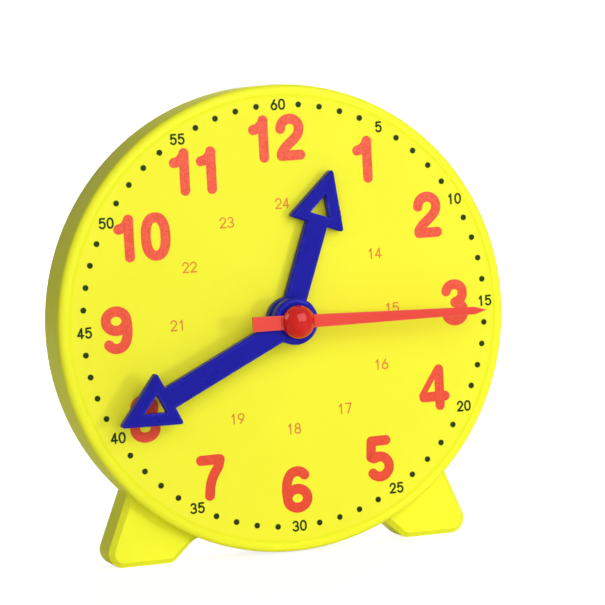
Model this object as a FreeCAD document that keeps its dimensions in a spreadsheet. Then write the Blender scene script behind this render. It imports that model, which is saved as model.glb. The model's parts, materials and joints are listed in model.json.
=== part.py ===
import FreeCAD, Part
import math
import os
import re

import Sketcher

# A geared teaching clock: a round case that stands on two moulded feet, hour and minute hands
# joined by a 12 to 1 gear train, and a second hand that is set by hand.
#
# Row frame, millimetres: +X to the right of someone reading the dial, +Y away from them, +Z up.
# The origin is on the ground, under the middle of the clock's outer box.
# Every piece is drawn in the clock's own frame: the hands' axis runs along Y, the dial's face is
# at y = 0 and depths grow towards the back. place() then lifts it to the row frame.

DIMENSIONS = [
    # round case: a deep front shell with an inset rear plate
    ("case_radius", 50.0),
    ("case_rear_radius", 49.7),
    ("case_depth", 12.8),
    ("rim_round", 2.4),
    ("rim_band", 0.6),
    ("dial_thickness", 2.0),
    ("wall_thickness", 2.4),
    ("lip_thickness", 1.3),
    ("cover_thickness", 2.4),
    ("cover_gap", 0.1),
    ("cover_edge_bevel", 0.4),
    ("floor_clearance", 0.45),
    # feet, measured from the hands' axis
    ("foot_setback", 4.5),
    ("foot_notch_x", 35.9),
    ("foot_notch_rise", 14.8),
    ("foot_outer_x", 42.1),
    ("foot_inner_x", 26.4),
    ("foot_heel_x", 19.8),
    ("foot_heel_rise", 5.8),
    ("foot_root_rise", 3.0),
    ("foot_outer_round", 3.2),
    ("foot_inner_round", 2.5),
    ("foot_heel_round", 3.0),
    ("foot_edge_bevel", 1.1),
    ("core_depth", 5.6),
    ("core_inner_x", 27.0),
    ("core_floor", 2.25),
    ("core_top_x", 35.2),
    ("core_top_rise", 10.8),
    ("core_toe_x", 38.6),
    ("core_rib_x", 32.5),
    ("core_rib", 1.6),
    # screws that hold the rear plate
    ("screw_inset", 4.4),
    ("screw_count", 4.0),
    ("screw_post_radius", 4.0),
    ("screw_radius", 1.25),
    ("screw_clearance", 0.15),
    ("screw_length", 6.8),
    ("screw_head_radius", 2.5),
    ("screw_head_thickness", 1.2),
    ("screw_head_bevel", 0.4),
    ("screw_sink_radius", 2.8),
    ("screw_sink_depth", 1.4),
    ("screw_pilot_spare", 1.0),
    ("screw_slot_width", 0.6),
    ("screw_slot_depth", 0.7),
    # hands' stack in front of the dial
    ("hand_thickness", 2.2),
    ("hand_width", 4.8),
    ("hand_hub_radius", 5.0),
    ("hand_bevel", 0.35),
    ("hour_hand_gap", 0.6),
    ("minute_hand_gap", 1.4),
    ("hour_hand_length", 33.65),
    ("minute_hand_length", 44.1),
    ("arrow_length", 12.5),
    ("arrow_half_width", 6.35),
    ("arrow_round", 0.5),
    ("arrow_hole_base", 2.1),
    ("arrow_hole_height", 4.6),
    ("arrow_hole_half_width", 2.25),
    ("hand_boss_radius", 3.6),
    ("second_hand_gap", 0.5),
    ("second_hand_thickness", 0.6),
    ("second_hand_length", 43.0),
    ("second_hand_tail", 10.0),
    ("second_tail_width", 3.2),
    ("second_tip_width", 1.6),
    ("second_tip_length", 2.7),
    ("second_hub_radius", 3.2),
    ("cap_radius", 3.5),
    ("cap_skirt", 0.7),
    ("cap_height", 2.8),
    ("cap_stem_radius", 0.9),
    ("cap_stem_length", 7.0),
    # rest positions, in degrees clockwise from twelve
    ("hour_rest_angle", 19.6),
    ("minute_rest_angle", 244.0),
    ("second_rest_angle", 91.0),
    # shafts and their fits
    ("arbor_radius", 2.0),
    ("pipe_radius", 3.0),
    ("axle_radius", 1.5),
    ("shaft_bevel", 0.3),
    ("running_fit", 0.05),
    ("end_play", 0.2),
    # gear train: the drive pinion turns the idler, whose pinion turns the hour wheel
    ("gear_module", 0.75),
    ("pressure_angle", 25.0),
    ("mesh_clearance", 0.15),
    ("drive_teeth", 15.0),
    ("idler_teeth", 45.0),
    ("idler_pinion_teeth", 12.0),
    ("hour_teeth", 48.0),
    ("bearing_boss_height", 0.6),
    ("bearing_boss_radius", 5.0),
    ("hour_wheel_thickness", 1.8),
    ("hour_hub_radius", 4.4),
    ("idler_boss_height", 0.4),
    ("idler_boss_radius", 3.2),
    ("idler_pinion_thickness", 2.6),
    ("idler_wheel_thickness", 1.8),
    ("idler_hub_thickness", 0.4),
    ("idler_hub_radius", 3.2),
    ("axle_seat_depth", 1.0),
    ("cover_boss_height", 1.0),
    ("washer_bore", 2.3),
    ("washer_radius", 4.6),
    ("washer_height", 0.8),
    ("washer_sheet", 0.3),
    ("cover_boss_radius", 5.5),
    # knob behind the rear plate
    ("knob_gap", 0.4),
    ("knob_radius", 9.0),
    ("knob_thickness", 7.0),
    ("knob_web", 2.0),
    ("knob_edge_bevel", 0.7),
    ("knob_dish_radius", 6.0),
    ("knob_dish_depth", 0.8),
    ("flute_radius", 1.6),
    ("flute_offset", 0.8),
    ("flute_count", 12.0),
]

# depths along the hands' axis, from the dial's face at zero
COVER_FACE = "(case_depth - cover_thickness)"
HOUR_HAND_BACK = "(-hour_hand_gap)"
HOUR_HAND_FRONT = "(-hour_hand_gap - hand_thickness)"
MINUTE_HAND_BACK = f"({HOUR_HAND_FRONT} - minute_hand_gap)"
MINUTE_HAND_FRONT = f"({MINUTE_HAND_BACK} - hand_thickness)"
SECOND_HAND_BACK = f"({MINUTE_HAND_FRONT} - second_hand_gap)"
SECOND_HAND_FRONT = f"({SECOND_HAND_BACK} - second_hand_thickness)"
CAP_FRONT = f"({SECOND_HAND_FRONT} - cap_height)"
PIPE_FRONT = f"({HOUR_HAND_FRONT} - end_play)"
ARBOR_FRONT = f"({MINUTE_HAND_FRONT} - end_play)"
HOUR_WHEEL_FRONT = "(dial_thickness + bearing_boss_height + end_play)"
HOUR_WHEEL_BACK = f"({HOUR_WHEEL_FRONT} + hour_wheel_thickness)"
DRIVE_FRONT = f"({HOUR_WHEEL_BACK} + 2 * end_play)"
COVER_BOSS_FACE = f"({COVER_FACE} - cover_boss_height)"
DRIVE_BACK = f"({COVER_BOSS_FACE} - washer_height)"
IDLER_FRONT = "(dial_thickness + idler_boss_height + end_play)"
IDLER_WHEEL_FRONT = f"({IDLER_FRONT} + idler_pinion_thickness)"
IDLER_BACK = f"({IDLER_WHEEL_FRONT} + idler_wheel_thickness + idler_hub_thickness)"
IDLER_POST_FACE = f"({IDLER_BACK} + end_play)"
KNOB_FRONT = "(case_depth + knob_gap)"
KNOB_BACK = f"({KNOB_FRONT} + knob_thickness)"
ARBOR_BACK = f"({KNOB_BACK} - knob_web)"
SCREW_SEAT = "(case_depth - screw_sink_depth)"
SCREW_END = f"({SCREW_SEAT} - screw_length)"

# radii inside the case, and the screws' distance from the axis along X and Z
CAVITY_RADIUS = "(case_radius - wall_thickness)"
SEAT_RADIUS = "(case_rear_radius - lip_thickness)"
SCREW_X = f"(({SEAT_RADIUS} - screw_inset) * sqrt(0.5))"

# where the pieces stand in the row frame
WIDEST_RADIUS = "max(case_radius; case_rear_radius)"
AXIS_HEIGHT = f"({WIDEST_RADIUS} + floor_clearance)"
DIAL_Y = f"(-({CAP_FRONT} + {KNOB_BACK}) / 2)"
GEAR_CENTRES = "(gear_module * (drive_teeth + idler_teeth) / 2 + mesh_clearance)"

doc = FreeCAD.newDocument("teaching_clock")
sheet = doc.addObject("Spreadsheet::Sheet", "Dims")
for row, (alias, number) in enumerate(DIMENSIONS, start=1):
    sheet.set(f"A{row}", alias)
    sheet.set(f"B{row}", str(number))
    sheet.setAlias(f"B{row}", alias)
doc.recompute()

# the rim's round is turned as this many narrow cones
RIM_STEPS = 3

ALIASES = {alias for alias, _ in DIMENSIONS}


def dims(expression):
    """The expression with every dimension's name pointed at its cell."""
    return re.sub(r"[a-z_]+", lambda word: f"Dims.{word[0]}" if word[0] in ALIASES else word[0], expression)


def value(expression):
    """The number that an expression of dimensions gives now."""
    return float(sheet.evalExpression(dims(str(expression))))


def bind(item, field, expression):
    item.setExpression(field, dims(str(expression)))


# ---------------------------------------------------------------- sketches and features

def new_body(name):
    body = doc.addObject("PartDesign::Body", name)
    body.Label = name
    body.AllowCompound = True
    return body


def sketch_on(body, name, role, depth="0"):
    """A sketch on one of the body's own planes: XZ faces the reader, XY holds turned profiles."""
    plane = next(item for item in body.Origin.OriginFeatures if item.Role == role)
    sketch = body.newObject("Sketcher::SketchObject", name)
    sketch.AttachmentSupport = (plane, [""])
    sketch.MapMode = "FlatFace"
    if depth != "0":
        bind(sketch, ".AttachmentOffset.Base.z", f"-({depth})")
    return sketch


def pin(sketch, geometry, point, x, y):
    """Hold one sketch point at a place that the dimensions give."""
    x_now, y_now = value(x), value(y)
    if x_now == 0 and y_now == 0:
        sketch.addConstraint(Sketcher.Constraint("Coincident", geometry, point, -1, 1))
        return
    for kind, number, expression, axis in (("DistanceX", x_now, x, -2), ("DistanceY", y_now, y, -1)):
        if number == 0:
            sketch.addConstraint(Sketcher.Constraint("PointOnObject", geometry, point, axis))
            continue
        index = sketch.addConstraint(Sketcher.Constraint(kind, -1, 1, geometry, point, number))
        bind(sketch, f"Constraints[{index}]", expression)


def outline(sketch, corners):
    """A closed outline of straight lines; each corner is a pair of expressions."""
    points = [FreeCAD.Vector(value(x), value(y), 0) for x, y in corners]
    first = sketch.GeometryCount
    total = len(points)
    for index, start in enumerate(points):
        sketch.addGeometry(Part.LineSegment(start, points[(index + 1) % total]))
    for index in range(total):
        following = first + (index + 1) % total
        sketch.addConstraint(Sketcher.Constraint("Coincident", first + index, 2, following, 1))
    for index, (x, y) in enumerate(corners):
        pin(sketch, first + index, 1, x, y)


def circle(sketch, x, y, radius):
    centre = FreeCAD.Vector(value(x), value(y), 0)
    index = sketch.addGeometry(Part.Circle(centre, FreeCAD.Vector(0, 0, 1), value(radius)))
    pin(sketch, index, 3, x, y)
    rule = sketch.addConstraint(Sketcher.Constraint("Radius", index, value(radius)))
    bind(sketch, f"Constraints[{rule}]", radius)


def pad(body, name, sketch, length):
    """Material from the sketch towards the back of the clock."""
    feature = body.newObject("PartDesign::Pad", name)
    feature.Profile = sketch
    feature.Reversed = True
    bind(feature, "Length", length)
    doc.recompute()
    return feature


def pocket(body, name, sketch, length):
    """A cut from the sketch towards the back of the clock, which must take material away."""
    before = body.Shape.Volume
    feature = body.newObject("PartDesign::Pocket", name)
    feature.Profile = sketch
    feature.Type = "Length"
    bind(feature, "Length", length)
    doc.recompute()
    if not body.Shape.Volume < before - 1e-6:
        raise RuntimeError(f"{name} cuts nothing")
    return feature


def turn(body, name, sketch, kind="PartDesign::Revolution"):
    """A full turn of the profile about the hands' axis, as a solid or as a cut."""
    before = body.Shape.Volume if kind == "PartDesign::Groove" else 0.0
    feature = body.newObject(kind, name)
    feature.Profile = sketch
    feature.ReferenceAxis = (sketch, ["V_Axis"])
    feature.Angle = 360
    doc.recompute()
    if kind == "PartDesign::Groove" and not body.Shape.Volume < before - 1e-6:
        raise RuntimeError(f"{name} cuts nothing")
    return feature


def dress(body, name, kind, size, chosen):
    """Fillet or chamfer the edges that the test chooses."""
    base = body.Tip
    names = [f"Edge{index}" for index, edge in enumerate(base.Shape.Edges, start=1) if chosen(edge)]
    if not names:
        raise RuntimeError(f"{name} found no edge")
    feature = body.newObject(f"PartDesign::{kind}", name)
    feature.Base = (base, names)
    bind(feature, "Radius" if kind == "Fillet" else "Size", size)
    doc.recompute()
    return feature


def ring_of(body, name, originals, count):
    """Repeat features evenly around the hands' axis."""
    axis = next(item for item in body.Origin.OriginFeatures if item.Role == "Y_Axis")
    feature = body.newObject("PartDesign::PolarPattern", name)
    feature.Originals = originals
    feature.Axis = (axis, [""])
    feature.Angle = 360
    bind(feature, "Occurrences", count)
    body.Tip = feature
    doc.recompute()
    return feature


def place(piece, angle="0", lower="0"):
    """Lift a piece to the row frame, turned clockwise by its rest angle and lowered if it is off the axis."""
    spin = FreeCAD.Rotation(FreeCAD.Vector(0, 1, 0), value(angle))
    drop = f"{AXIS_HEIGHT} - ({lower})"
    piece.Placement = FreeCAD.Placement(FreeCAD.Vector(0, value(DIAL_Y), value(drop)), spin)
    bind(piece, ".Placement.Base.y", DIAL_Y)
    bind(piece, ".Placement.Base.z", drop)
    if angle != "0":
        bind(piece, ".Placement.Rotation.Angle", angle)


def flat_at(edge, depth):
    """True for an edge that lies at one depth."""
    box = edge.BoundBox
    return abs(box.YMin - value(depth)) < 1e-4 and abs(box.YMax - value(depth)) < 1e-4


def along_axis(edge, x, z, reach=0.3):
    """True for an edge that runs front to back through (x, z)."""
    box = edge.BoundBox
    middle = box.Center
    narrow = box.XLength < 1e-3 and box.ZLength < 1e-3
    return narrow and abs(middle.x - value(x)) < reach and abs(middle.z - value(z)) < reach


# ---------------------------------------------------------------- case

FOOT_BOTTOM = f"(-{AXIS_HEIGHT})"
NOTCH_LEVEL = "(foot_notch_rise - case_radius)"
CORE_LEVEL = f"({FOOT_BOTTOM} + core_floor)"
CORE_TOP_LEVEL = "(core_top_rise - case_radius)"
# the case's radius where the feet's front face meets it
ROOT_RADIUS = ("(case_radius + (case_rear_radius - case_radius) * (foot_setback - rim_round - rim_band)"
               " / (case_depth - rim_round - rim_band))")


def foot_outline(sketch, side):
    """One foot: its outer edge slants out to a flat sole, its inner edge slants back to the case."""
    slope = f"((foot_outer_x - foot_notch_x) / ({NOTCH_LEVEL} - {FOOT_BOTTOM}))"
    outline(sketch, [
        (f"{side} * (foot_notch_x - foot_root_rise * {slope})", f"{NOTCH_LEVEL} + foot_root_rise"),
        (f"{side} * foot_outer_x", FOOT_BOTTOM),
        (f"{side} * foot_inner_x", FOOT_BOTTOM),
        (f"{side} * foot_heel_x", "foot_heel_rise - case_radius"),
    ])


def foot_cores(sketch, side):
    """The two hollows that lighten a foot from behind, with an upright rib between them."""
    rise = f"(({CORE_TOP_LEVEL} - {CORE_LEVEL}) / (core_top_x - core_inner_x))"
    rib_inner, rib_outer = "(core_rib_x - core_rib / 2)", "(core_rib_x + core_rib / 2)"
    outline(sketch, [
        (f"{side} * core_inner_x", CORE_LEVEL),
        (f"{side} * {rib_inner}", f"({rib_inner} - core_inner_x) * {rise} + {CORE_LEVEL}"),
        (f"{side} * {rib_inner}", CORE_LEVEL),
    ])
    outline(sketch, [
        (f"{side} * {rib_outer}", CORE_LEVEL),
        (f"{side} * {rib_outer}", f"({rib_outer} - core_inner_x) * {rise} + {CORE_LEVEL}"),
        (f"{side} * core_top_x", CORE_TOP_LEVEL),
        (f"{side} * core_toe_x", CORE_LEVEL),
    ])


def upright_at(edge, x):
    """True for a front to back edge on the sole, at x on either side."""
    return any(along_axis(edge, f"{side} * {x}", FOOT_BOTTOM) for side in (1, -1))


def foot_heel(edge):
    """True for the inner corner where a foot's slant runs into the round case."""
    box, middle = edge.BoundBox, edge.valueAt((edge.FirstParameter + edge.LastParameter) / 2)
    front_to_back = box.YLength > value("case_depth - foot_setback - foot_edge_bevel") * 0.8
    narrow, wide = sorted((value("case_radius"), value("case_rear_radius")))
    on_case = narrow - 0.5 < foot_reach(edge) < wide + 0.5
    return front_to_back and on_case and middle.z < 0 and abs(middle.x) < value("foot_inner_x")


def foot_front_edge(edge):
    """True for an edge of a foot's front face, outside the round case."""
    low = edge.BoundBox.ZMax < value(f"{NOTCH_LEVEL} + foot_root_rise / 2")
    return flat_at(edge, "foot_setback") and low and foot_reach(edge) > value(ROOT_RADIUS) + 0.15


def foot_reach(edge):
    middle = edge.valueAt((edge.FirstParameter + edge.LastParameter) / 2)
    return (middle.x ** 2 + middle.z ** 2) ** 0.5


def make_housing():
    """Front shell: dial, rim, side wall, feet, screw posts and the front bearings, in one moulding."""
    body = new_body("front_housing")
    profile = sketch_on(body, "case_profile", "XY_Plane")
    rim = []
    for step in range(RIM_STEPS + 1):
        lean = math.radians(90 * step / RIM_STEPS)
        rim.append((f"case_radius - rim_round * {1 - math.sin(lean):.6f}", f"rim_round * {1 - math.cos(lean):.6f}"))
    rim[0] = ("case_radius - rim_round", "0")
    outline(profile, [("0", "0")] + rim + [
        ("case_radius", "rim_round + rim_band"),
        ("case_rear_radius", "case_depth"),
        ("0", "case_depth"),
    ])
    turn(body, "case_blank", profile)

    feet = sketch_on(body, "foot_sketch", "XZ_Plane", "foot_setback")
    for side in (1, -1):
        foot_outline(feet, side)
    pad(body, "foot_blocks", feet, "case_depth - foot_setback")
    dress(body, "foot_toes", "Fillet", "foot_outer_round", lambda edge: upright_at(edge, "foot_outer_x"))
    dress(body, "foot_soles", "Fillet", "foot_inner_round", lambda edge: upright_at(edge, "foot_inner_x"))
    dress(body, "foot_front_edges", "Chamfer", "foot_edge_bevel", foot_front_edge)
    dress(body, "foot_heels", "Fillet", "foot_heel_round", foot_heel)

    cavity = sketch_on(body, "cavity_profile", "XY_Plane")
    outline(cavity, [
        ("0", "dial_thickness"),
        (CAVITY_RADIUS, "dial_thickness"),
        ("case_rear_radius - wall_thickness", COVER_FACE),
        (SEAT_RADIUS, COVER_FACE),
        (SEAT_RADIUS, "case_depth + 1"),
        ("0", "case_depth + 1"),
    ])
    turn(body, "cavity", cavity, "PartDesign::Groove")

    posts = sketch_on(body, "screw_post_sketch", "XZ_Plane", "dial_thickness - 0.5")
    circle(posts, SCREW_X, SCREW_X, "screw_post_radius")
    post = pad(body, "screw_post", posts, f"{COVER_FACE} - dial_thickness + 0.5")
    ring_of(body, "screw_posts", [post], "screw_count")

    bearing = sketch_on(body, "bearing_boss_sketch", "XZ_Plane", "dial_thickness - 0.5")
    circle(bearing, "0", "0", "bearing_boss_radius")
    pad(body, "bearing_boss", bearing, "bearing_boss_height + 0.5")
    seat = sketch_on(body, "idler_boss_sketch", "XZ_Plane", "dial_thickness - 0.5")
    circle(seat, "0", f"-{GEAR_CENTRES}", "idler_boss_radius")
    pad(body, "idler_boss", seat, "idler_boss_height + 0.5")

    bore = sketch_on(body, "pipe_bore_sketch", "XZ_Plane", "-1")
    circle(bore, "0", "0", "pipe_radius + running_fit")
    pocket(body, "pipe_bore", bore, "dial_thickness + bearing_boss_height + 2")
    hole = sketch_on(body, "axle_seat_sketch", "XZ_Plane", "dial_thickness - axle_seat_depth")
    circle(hole, "0", f"-{GEAR_CENTRES}", "axle_radius")
    pocket(body, "axle_seat", hole, "axle_seat_depth + idler_boss_height + 1")
    pilots = sketch_on(body, "pilot_sketch", "XZ_Plane", f"{SCREW_END} - screw_pilot_spare")
    circle(pilots, SCREW_X, SCREW_X, "screw_radius")
    pilot = pocket(body, "screw_pilot", pilots, f"{COVER_FACE} - {SCREW_END} + screw_pilot_spare + 1")
    ring_of(body, "screw_pilots", [pilot], "screw_count")

    cores = sketch_on(body, "foot_core_sketch", "XZ_Plane", "case_depth - core_depth")
    for side in (1, -1):
        foot_cores(cores, side)
    pocket(body, "foot_cores", cores, "core_depth + 1")
    place(body)
    return body


def make_rear_cover():
    """Inset rear plate with the rear bearings, held by sunk screws."""
    body = new_body("rear_cover")
    plate = sketch_on(body, "plate_sketch", "XZ_Plane", COVER_FACE)
    circle(plate, "0", "0", f"{SEAT_RADIUS} - cover_gap")
    pad(body, "plate", plate, "cover_thickness")
    dress(body, "plate_edge", "Chamfer", "cover_edge_bevel", lambda edge: flat_at(edge, "case_depth"))

    boss = sketch_on(body, "boss_sketch", "XZ_Plane", COVER_BOSS_FACE)
    circle(boss, "0", "0", "cover_boss_radius")
    pad(body, "bearing_boss", boss, f"{COVER_FACE} - {COVER_BOSS_FACE} + 0.5")
    post = sketch_on(body, "axle_post_sketch", "XZ_Plane", IDLER_POST_FACE)
    circle(post, "0", f"-{GEAR_CENTRES}", "idler_boss_radius")
    pad(body, "axle_post", post, f"{COVER_FACE} - {IDLER_POST_FACE} + 0.5")

    bore = sketch_on(body, "arbor_bore_sketch", "XZ_Plane", f"{COVER_BOSS_FACE} - 1")
    circle(bore, "0", "0", "arbor_radius + running_fit")
    pocket(body, "arbor_bore", bore, f"case_depth - {COVER_BOSS_FACE} + 2")
    hole = sketch_on(body, "axle_hole_sketch", "XZ_Plane", f"{IDLER_POST_FACE} - 1")
    circle(hole, "0", f"-{GEAR_CENTRES}", "axle_radius")
    pocket(body, "axle_hole", hole, f"case_depth - axle_seat_depth - {IDLER_POST_FACE} + 1")

    through = sketch_on(body, "screw_hole_sketch", "XZ_Plane", f"{COVER_FACE} - 1")
    circle(through, SCREW_X, SCREW_X, "screw_radius + screw_clearance")
    hole = pocket(body, "screw_hole", through, "cover_thickness + 2")
    ring_of(body, "screw_holes", [hole], "screw_count")
    sinks = sketch_on(body, "screw_sink_sketch", "XZ_Plane", "case_depth - screw_sink_depth")
    circle(sinks, SCREW_X, SCREW_X, "screw_sink_radius")
    sink = pocket(body, "screw_sink", sinks, "screw_sink_depth + 1")
    ring_of(body, "screw_sinks", [sink], "screw_count")
    place(body)
    return body


def make_screws():
    """Pan-headed screws from the back, with a cross slot, as one group."""
    body = new_body("cover_screws")
    shank = sketch_on(body, "shank_sketch", "XZ_Plane", SCREW_END)
    circle(shank, SCREW_X, SCREW_X, "screw_radius")
    shank = pad(body, "shank", shank, "screw_length + 0.2")
    head = sketch_on(body, "head_sketch", "XZ_Plane", SCREW_SEAT)
    circle(head, SCREW_X, SCREW_X, "screw_head_radius")
    head = pad(body, "head", head, "screw_head_thickness")
    ring_of(body, "screws", [shank, head], "screw_count")
    dress(body, "head_edges", "Chamfer", "screw_head_bevel",
          lambda edge: flat_at(edge, f"{SCREW_SEAT} + screw_head_thickness"))
    slots = sketch_on(body, "slot_sketch", "XZ_Plane", f"{SCREW_SEAT} + screw_head_thickness - screw_slot_depth")
    reach, width = "(screw_head_radius * 0.62)", "(screw_slot_width / 2)"
    cross = [(width, width), (width, reach), (f"-{width}", reach), (f"-{width}", width)]
    corners = cross + [(f"-{reach}", width), (f"-{reach}", f"-{width}"), (f"-{width}", f"-{width}"),
                       (f"-{width}", f"-{reach}"), (width, f"-{reach}"), (width, f"-{width}"),
                       (reach, f"-{width}"), (reach, width)]
    outline(slots, [(f"{SCREW_X} + {x}", f"{SCREW_X} + {y}") for x, y in corners])
    slot = pocket(body, "cross_slot", slots, "screw_slot_depth + 1")
    ring_of(body, "cross_slots", [slot], "screw_count")
    place(body)
    return body


# ---------------------------------------------------------------- hands

def make_clock_hand(name, length, back, bore, angle, boss=None):
    """A flat hand with a pierced arrow head and a round hub, pressed on its shaft."""
    body = new_body(name)
    front = f"({back} - hand_thickness)"
    half = "(hand_width / 2)"
    arrow_base = f"({length} - arrow_length)"
    blade = sketch_on(body, "blade_sketch", "XZ_Plane", front)
    outline(blade, [
        (half, "0"),
        (half, arrow_base),
        ("arrow_half_width", arrow_base),
        ("0", length),
        ("-arrow_half_width", arrow_base),
        (f"-{half}", arrow_base),
        (f"-{half}", "0"),
    ])
    pad(body, "blade", blade, "hand_thickness")
    dress(body, "arrow_corners", "Fillet", "arrow_round",
          lambda edge: any(along_axis(edge, x, z) for x, z in (
              ("arrow_half_width", arrow_base), ("0", length), ("-arrow_half_width", arrow_base))))
    hub = sketch_on(body, "hub_sketch", "XZ_Plane", front)
    circle(hub, "0", "0", "hand_hub_radius")
    pad(body, "hub", hub, "hand_thickness")
    dress(body, "front_bevel", "Chamfer", "hand_bevel", lambda edge: flat_at(edge, front))
    if boss:
        ring = sketch_on(body, "boss_sketch", "XZ_Plane", f"{back} - 0.2")
        circle(ring, "0", "0", "hand_boss_radius")
        pad(body, "boss", ring, f"{boss} + 0.2")
    hole = sketch_on(body, "bore_sketch", "XZ_Plane", f"{front} - 1")
    circle(hole, "0", "0", bore)
    pocket(body, "bore", hole, "hand_thickness + minute_hand_gap + 2")
    window = sketch_on(body, "arrow_hole_sketch", "XZ_Plane", f"{front} - 1")
    outline(window, [
        ("arrow_hole_half_width", f"{arrow_base} + arrow_hole_base"),
        ("0", f"{arrow_base} + arrow_hole_base + arrow_hole_height"),
        ("-arrow_hole_half_width", f"{arrow_base} + arrow_hole_base"),
    ])
    pocket(body, "arrow_hole", window, "hand_thickness + 2")
    place(body, angle)
    return body


def make_second_hand():
    """A thin tapering blade with a flat tail, held under the cap."""
    body = new_body("second_hand")
    blade = sketch_on(body, "blade_sketch", "XZ_Plane", SECOND_HAND_FRONT)
    tail, tip, neck = "(second_tail_width / 2)", "(second_tip_width / 2)", "(second_hand_length - second_tip_length)"
    outline(blade, [
        (tail, "-second_hand_tail"),
        (tip, neck),
        ("0", "second_hand_length"),
        (f"-{tip}", neck),
        (f"-{tail}", "-second_hand_tail"),
    ])
    pad(body, "blade", blade, "second_hand_thickness")
    hub = sketch_on(body, "hub_sketch", "XZ_Plane", SECOND_HAND_FRONT)
    circle(hub, "0", "0", "second_hub_radius")
    pad(body, "hub", hub, "second_hand_thickness")
    hole = sketch_on(body, "stem_hole_sketch", "XZ_Plane", f"{SECOND_HAND_FRONT} - 1")
    circle(hole, "0", "0", "cap_stem_radius")
    pocket(body, "stem_hole", hole, "second_hand_thickness + 2")
    place(body, "second_rest_angle")
    return body


def make_cap():
    """Domed cap over the second hand, with the stem that turns in the minute arbor."""
    body = new_body("centre_cap")
    profile = sketch_on(body, "dome_profile", "XY_Plane")
    stem_end = f"({SECOND_HAND_FRONT} + cap_stem_length)"
    rim = f"({SECOND_HAND_FRONT} - cap_skirt)"
    corners = [("0", CAP_FRONT), ("0", stem_end), ("cap_stem_radius", stem_end),
               ("cap_stem_radius", SECOND_HAND_FRONT), ("cap_radius", SECOND_HAND_FRONT), ("cap_radius", rim)]
    points = [FreeCAD.Vector(value(x), value(y), 0) for x, y in corners]
    for start, end in zip(points, points[1:]):
        profile.addGeometry(Part.LineSegment(start, end))
    rise = value("cap_height - cap_skirt")
    sphere = (value("cap_radius") ** 2 + rise ** 2) / (2 * rise)
    centre_y = value(CAP_FRONT) + sphere
    shoulder = FreeCAD.Vector(sphere * 0.5, centre_y - sphere * 3 ** 0.5 / 2, 0)
    profile.addGeometry(Part.Arc(points[-1], shoulder, points[0]))
    arc = len(corners) - 1
    rim_end = 1 if profile.getPoint(arc, 1).distanceToPoint(points[-1]) < 1e-6 else 2
    for index in range(arc - 1):
        profile.addConstraint(Sketcher.Constraint("Coincident", index, 2, index + 1, 1))
    profile.addConstraint(Sketcher.Constraint("Coincident", arc - 1, 2, arc, rim_end))
    profile.addConstraint(Sketcher.Constraint("Coincident", 0, 1, arc, 3 - rim_end))
    for index, (x, y) in enumerate(corners[:-1]):
        pin(profile, index, 1, x, y)
    pin(profile, arc - 1, 2, *corners[-1])
    profile.addConstraint(Sketcher.Constraint("PointOnObject", arc, 3, -2))
    turn(body, "dome", profile)
    place(body, "second_rest_angle")
    return body


# ---------------------------------------------------------------- shafts, washer and knob

def make_rod(name, profile_name, corners):
    body = new_body(name)
    profile = sketch_on(body, profile_name, "XY_Plane")
    outline(profile, corners)
    turn(body, f"{name}_turned", profile)
    return body


def make_arbor():
    """The long shaft that carries the minute hand, the drive pinion and the knob."""
    bevel, bore = "shaft_bevel", "(cap_stem_radius + running_fit)"
    bore_end = f"({SECOND_HAND_FRONT} + cap_stem_length + end_play)"
    body = make_rod("minute_arbor", "arbor_profile", [
        (bore, ARBOR_FRONT),
        (f"arbor_radius - {bevel}", ARBOR_FRONT),
        ("arbor_radius", f"{ARBOR_FRONT} + {bevel}"),
        ("arbor_radius", f"{ARBOR_BACK} - {bevel}"),
        (f"arbor_radius - {bevel}", ARBOR_BACK),
        ("0", ARBOR_BACK),
        ("0", bore_end),
        (bore, bore_end),
    ])
    place(body, "minute_rest_angle")
    return body


def make_axle():
    """The fixed pin that the idler turns on, held at both ends."""
    front, back = "(dial_thickness - axle_seat_depth)", "(case_depth - axle_seat_depth)"
    body = make_rod("idler_axle", "axle_profile", [
        ("0", front),
        ("axle_radius - shaft_bevel", front),
        ("axle_radius", f"{front} + shaft_bevel"),
        ("axle_radius", f"{back} - shaft_bevel"),
        ("axle_radius - shaft_bevel", back),
        ("0", back),
    ])
    place(body, lower=GEAR_CENTRES)
    return body


def make_washer():
    """Cupped spring washer between the pinion and the rear bearing, which gives the hands their drag."""
    body = make_rod("friction_washer", "washer_profile", [
        ("washer_bore", COVER_BOSS_FACE),
        ("washer_bore", f"{COVER_BOSS_FACE} - washer_sheet"),
        ("washer_radius", DRIVE_BACK),
        ("washer_radius", f"{DRIVE_BACK} + washer_sheet"),
    ])
    place(body, "minute_rest_angle")
    return body


def make_knob():
    """Fluted knob behind the case that sets the hands."""
    body = new_body("setting_knob")
    blank = sketch_on(body, "knob_sketch", "XZ_Plane", KNOB_FRONT)
    circle(blank, "0", "0", "knob_radius")
    pad(body, "blank", blank, "knob_thickness")
    dress(body, "knob_edges", "Chamfer", "knob_edge_bevel",
          lambda edge: flat_at(edge, KNOB_FRONT) or flat_at(edge, KNOB_BACK))
    flutes = sketch_on(body, "flute_sketch", "XZ_Plane", f"{KNOB_FRONT} - 1")
    circle(flutes, "0", "knob_radius + flute_offset", "flute_radius")
    flute = pocket(body, "flute", flutes, "knob_thickness + 2")
    ring_of(body, "flutes", [flute], "flute_count")
    dish = sketch_on(body, "dish_sketch", "XZ_Plane", f"{KNOB_BACK} - knob_dish_depth")
    circle(dish, "0", "0", "knob_dish_radius")
    pocket(body, "dish", dish, "knob_dish_depth + 1")
    hole = sketch_on(body, "knob_bore_sketch", "XZ_Plane", f"{KNOB_FRONT} - 1")
    circle(hole, "0", "0", "arbor_radius")
    pocket(body, "knob_bore", hole, f"{ARBOR_BACK} - {KNOB_FRONT} + 1")
    place(body, "minute_rest_angle")
    return body


# ---------------------------------------------------------------- gear train

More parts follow.
